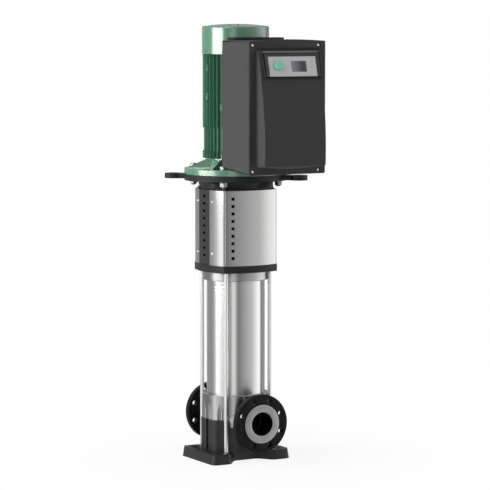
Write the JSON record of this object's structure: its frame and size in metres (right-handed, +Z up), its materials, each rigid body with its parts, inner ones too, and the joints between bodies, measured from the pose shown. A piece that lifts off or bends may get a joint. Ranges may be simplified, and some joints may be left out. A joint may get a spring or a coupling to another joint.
{
  "type": "vertical multistage pump",
  "caption": "Vertical multistage inline pump with steel sleeve, tie rods, flanged nozzles, coupling guard, green finned motor and a frequency converter with knob.",
  "frame": {"origin": "on the pump's axis, at the underside of the foot", "axes": "+Z up along the shaft, -Y towards the front nozzle and the converter, +X to the right of that view"},
  "size_m": [0.374, 0.5873, 1.489],
  "materials": {
    "foot_iron": "painted satin black",
    "flange_iron": "painted satin black",
    "lantern_iron": "painted satin dark grey",
    "casing_steel": "satin stainless",
    "shroud_steel": "polished stainless",
    "guard_steel": "brushed stainless",
    "rod_steel": "bright drawn stainless",
    "fastener_steel": "zinc plated",
    "shaft_steel": "ground",
    "core_steel": "laminated",
    "winding_copper": "enamelled copper",
    "bush_carbide": "ground",
    "seal_rubber": "matt",
    "motor_green": "green enamel, semi-gloss",
    "frame_green": "die-cast, green enamel",
    "cooler_black": "black anodised",
    "converter_grey": "fine-grained dark grey",
    "cover_grey": "fine-grained dark grey",
    "tray_black": "matt black",
    "panel_grey": "light grey",
    "display_glass": "smoked",
    "knob_green": "green",
    "board_green": "laminate",
    "fan_plastic": "black"
  },
  "bodies": {
    "pump": {"pump_foot": "foot_iron", "pump_casing": "casing_steel", "drain_plug": "casing_steel", "tie_rods": "rod_steel", "tie_rod_nuts": "fastener_steel", "tie_rod_washers": "fastener_steel", "pressure_shroud": "shroud_steel", "shroud_o_rings": "seal_rubber", "pump_head": "casing_steel", "suction_bowl": "casing_steel", "stage_chambers": "casing_steel", "guide_bushes": "bush_carbide", "discharge_ring": "casing_steel", "seal_cover": "casing_steel", "seal_seat": "bush_carbide", "seal_screws": "fastener_steel", "lantern": "lantern_iron", "coupling_guard_front": "guard_steel", "coupling_guard_rear": "guard_steel", "side_strips": "lantern_iron", "guard_screws": "fastener_steel", "lower_end_shield": "motor_green", "bearing_outer_rings": "shaft_steel", "motor_frame": "frame_green", "upper_end_shield": "frame_green", "stator_core": "core_steel", "stator_windings": "winding_copper", "fan_cover": "motor_green", "motor_bolts": "fastener_steel", "motor_nuts": "fastener_steel", "motor_washers": "fastener_steel", "converter_adapter": "cooler_black", "converter_housing": "converter_grey", "converter_cover": "cover_grey", "cover_screws": "fastener_steel", "circuit_board": "board_green", "control_tray": "tray_black", "control_panel": "panel_grey", "display_window": "display_glass", "control_board": "board_green"},
    "rotor": {"pump_shaft": "shaft_steel", "impellers": "casing_steel", "shaft_sleeves": "shaft_steel", "shaft_end_nut": "shaft_steel", "seal_rotor": "seal_rubber", "coupling_half_front": "shaft_steel", "coupling_half_rear": "shaft_steel", "coupling_bolts": "fastener_steel", "bearing_inner_rings": "shaft_steel", "rotor_core": "core_steel", "motor_shaft": "shaft_steel", "cooling_fan": "fan_plastic"},
    "front_flange": {"front_flange": "flange_iron"},
    "rear_flange": {"rear_flange": "flange_iron"},
    "encoder": {"encoder_shaft": "shaft_steel"},
    "knob": {"control_knob": "knob_green"}
  },
  "joints": [
    {"name": "shaft_spin", "type": "hinge", "parent": "pump", "child": "rotor", "pos_m": [0, 0, 0.75], "axis": [0, 0, 1], "continuous": true},
    {"name": "front_flange_turn", "type": "hinge", "parent": "pump", "child": "front_flange", "pos_m": [0, -0.168, 0.14], "axis": [0, -1, 0], "continuous": true},
    {"name": "rear_flange_turn", "type": "hinge", "parent": "pump", "child": "rear_flange", "pos_m": [0, 0.168, 0.14], "axis": [0, 1, 0], "continuous": true},
    {"name": "encoder_turn", "type": "hinge", "parent": "pump", "child": "encoder", "pos_m": [-0.055, -0.3755, 1.35], "axis": [0, -0.9673, 0.2538], "continuous": true},
    {"name": "knob_push", "type": "slide", "parent": "encoder", "child": "knob", "axis": [0, 0.9673, -0.2538], "range_m": [0, 0.0015], "stiffness_N_per_m": 1200}
  ]
}
